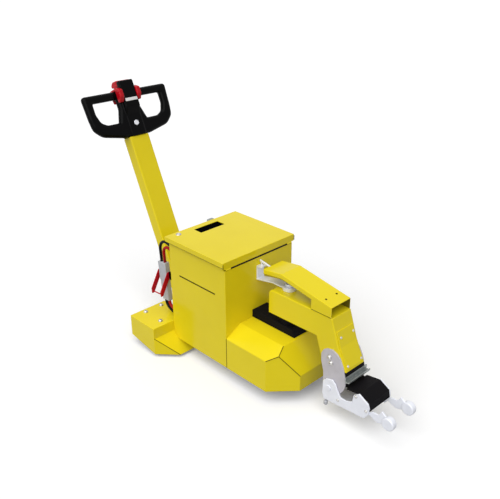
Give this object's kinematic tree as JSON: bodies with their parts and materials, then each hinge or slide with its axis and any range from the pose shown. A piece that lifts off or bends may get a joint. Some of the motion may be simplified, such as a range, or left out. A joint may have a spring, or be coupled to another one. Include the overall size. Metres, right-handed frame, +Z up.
{
  "type": "electric tow tug",
  "caption": "Pedestrian electric tow tug: boxed battery body on driven wheels and rear castors, leaning tiller with looped hand grips, swinging gooseneck with a tilting pick-up fork.",
  "frame": {"origin": "bottom centre of the whole machine's bounding box, on the ground", "axes": "+X forward from the tiller to the fork, +Y to the machine's left, +Z up"},
  "size_m": [1.5606, 0.57, 1.0302],
  "materials": {
    "yellow_paint": "semi-gloss yellow paint",
    "black_steel": "satin black",
    "black_plastic": "fine moulded grain",
    "black_lead": "smooth",
    "red_lead": "smooth",
    "red_plastic": "gloss",
    "grey_plastic": "satin",
    "zinc_steel": "bright zinc plate",
    "tyre_rubber": "solid tread",
    "castor_rubber": "smooth tread"
  },
  "bodies": {
    "chassis": {"battery_box": "yellow_paint", "battery_pack": "black_steel", "lid_hinge": "black_steel", "drive_cover": "yellow_paint", "drive_mount": "black_steel", "drive_unit": "black_steel", "drive_axle": "zinc_steel", "pivot_block": "black_steel", "swing_post": "black_steel", "upper_bracket": "zinc_steel", "pivot_bolt": "zinc_steel", "lock_pin": "zinc_steel", "castor_guard_right": "yellow_paint", "castor_guard_left": "yellow_paint", "castor_plates": "zinc_steel", "rear_plate": "yellow_paint", "tiller_ears": "yellow_paint", "tiller_pin": "zinc_steel", "connector_upper": "grey_plastic", "connector_lower": "grey_plastic", "connector_clip": "black_plastic", "connector_handle": "red_plastic", "lead_black": "black_lead", "lead_red": "red_lead", "lead_grommets": "black_plastic"},
    "lid": {"lid": "yellow_paint", "display_window": "black_plastic", "lid_lock": "zinc_steel", "lid_pull": "zinc_steel"},
    "drive_wheel_right": {"drive_rim_right": "zinc_steel", "drive_tyre_right": "tyre_rubber"},
    "drive_wheel_left": {"drive_rim_left": "zinc_steel", "drive_tyre_left": "tyre_rubber"},
    "castor_right": {"castor_fork_right": "zinc_steel", "castor_axle_right": "zinc_steel"},
    "castor_left": {"castor_fork_left": "zinc_steel", "castor_axle_left": "zinc_steel"},
    "castor_roller_right": {"castor_wheel_right": "castor_rubber"},
    "castor_roller_left": {"castor_wheel_left": "castor_rubber"},
    "tiller": {"tiller_arm": "yellow_paint", "tiller_head": "black_plastic", "throttle_paddles": "red_plastic", "safety_button": "red_plastic"},
    "gooseneck": {"gooseneck": "yellow_paint", "hood": "yellow_paint", "front_plate": "yellow_paint", "end_block": "black_steel", "end_channel": "zinc_steel", "cheek_plates": "zinc_steel", "fork_pins": "zinc_steel"},
    "fork": {"fork_arms": "zinc_steel", "fork_prongs": "zinc_steel", "fork_pads": "zinc_steel", "fork_buffers": "grey_plastic", "cradle": "black_steel", "fork_tie": "zinc_steel"}
  },
  "joints": [
    {"name": "lid_hinge", "type": "hinge", "parent": "chassis", "child": "lid", "pos_m": [0.08734, 0, 0.4805], "axis": [0, 1, 0], "range_deg": [0, 100]},
    {"name": "drive_spin_right", "type": "hinge", "parent": "chassis", "child": "drive_wheel_right", "pos_m": [0.21834, -0.078, 0.09], "axis": [0, 1, 0], "continuous": true},
    {"name": "drive_spin_left", "type": "hinge", "parent": "chassis", "child": "drive_wheel_left", "pos_m": [0.21834, 0.078, 0.09], "axis": [0, 1, 0], "continuous": true},
    {"name": "castor_swivel_right", "type": "hinge", "parent": "chassis", "child": "castor_right", "pos_m": [-0.32066, -0.182, 0.11], "axis": [0, 0, 1], "continuous": true},
    {"name": "castor_swivel_left", "type": "hinge", "parent": "chassis", "child": "castor_left", "pos_m": [-0.32066, 0.182, 0.11], "axis": [0, 0, 1], "continuous": true},
    {"name": "castor_spin_right", "type": "hinge", "parent": "castor_right", "child": "castor_roller_right", "pos_m": [-0.34466, -0.182, 0.038], "axis": [0, 1, 0], "continuous": true},
    {"name": "castor_spin_left", "type": "hinge", "parent": "castor_left", "child": "castor_roller_left", "pos_m": [-0.34466, 0.182, 0.038], "axis": [0, 1, 0], "continuous": true},
    {"name": "tiller_tilt", "type": "hinge", "parent": "chassis", "child": "tiller", "pos_m": [-0.36666, 0, 0.115], "axis": [0, 1, 0], "range_deg": [-50, 24]},
    {"name": "gooseneck_swing", "type": "hinge", "parent": "chassis", "child": "gooseneck", "pos_m": [0.24334, 0, 0.347], "axis": [0, 0, 1], "range_deg": [-70, 70]},
    {"name": "fork_tilt", "type": "hinge", "parent": "gooseneck", "child": "fork", "pos_m": [0.49934, 0, 0.122], "axis": [0, -1, 0], "range_deg": [0, 10]}
  ]
}
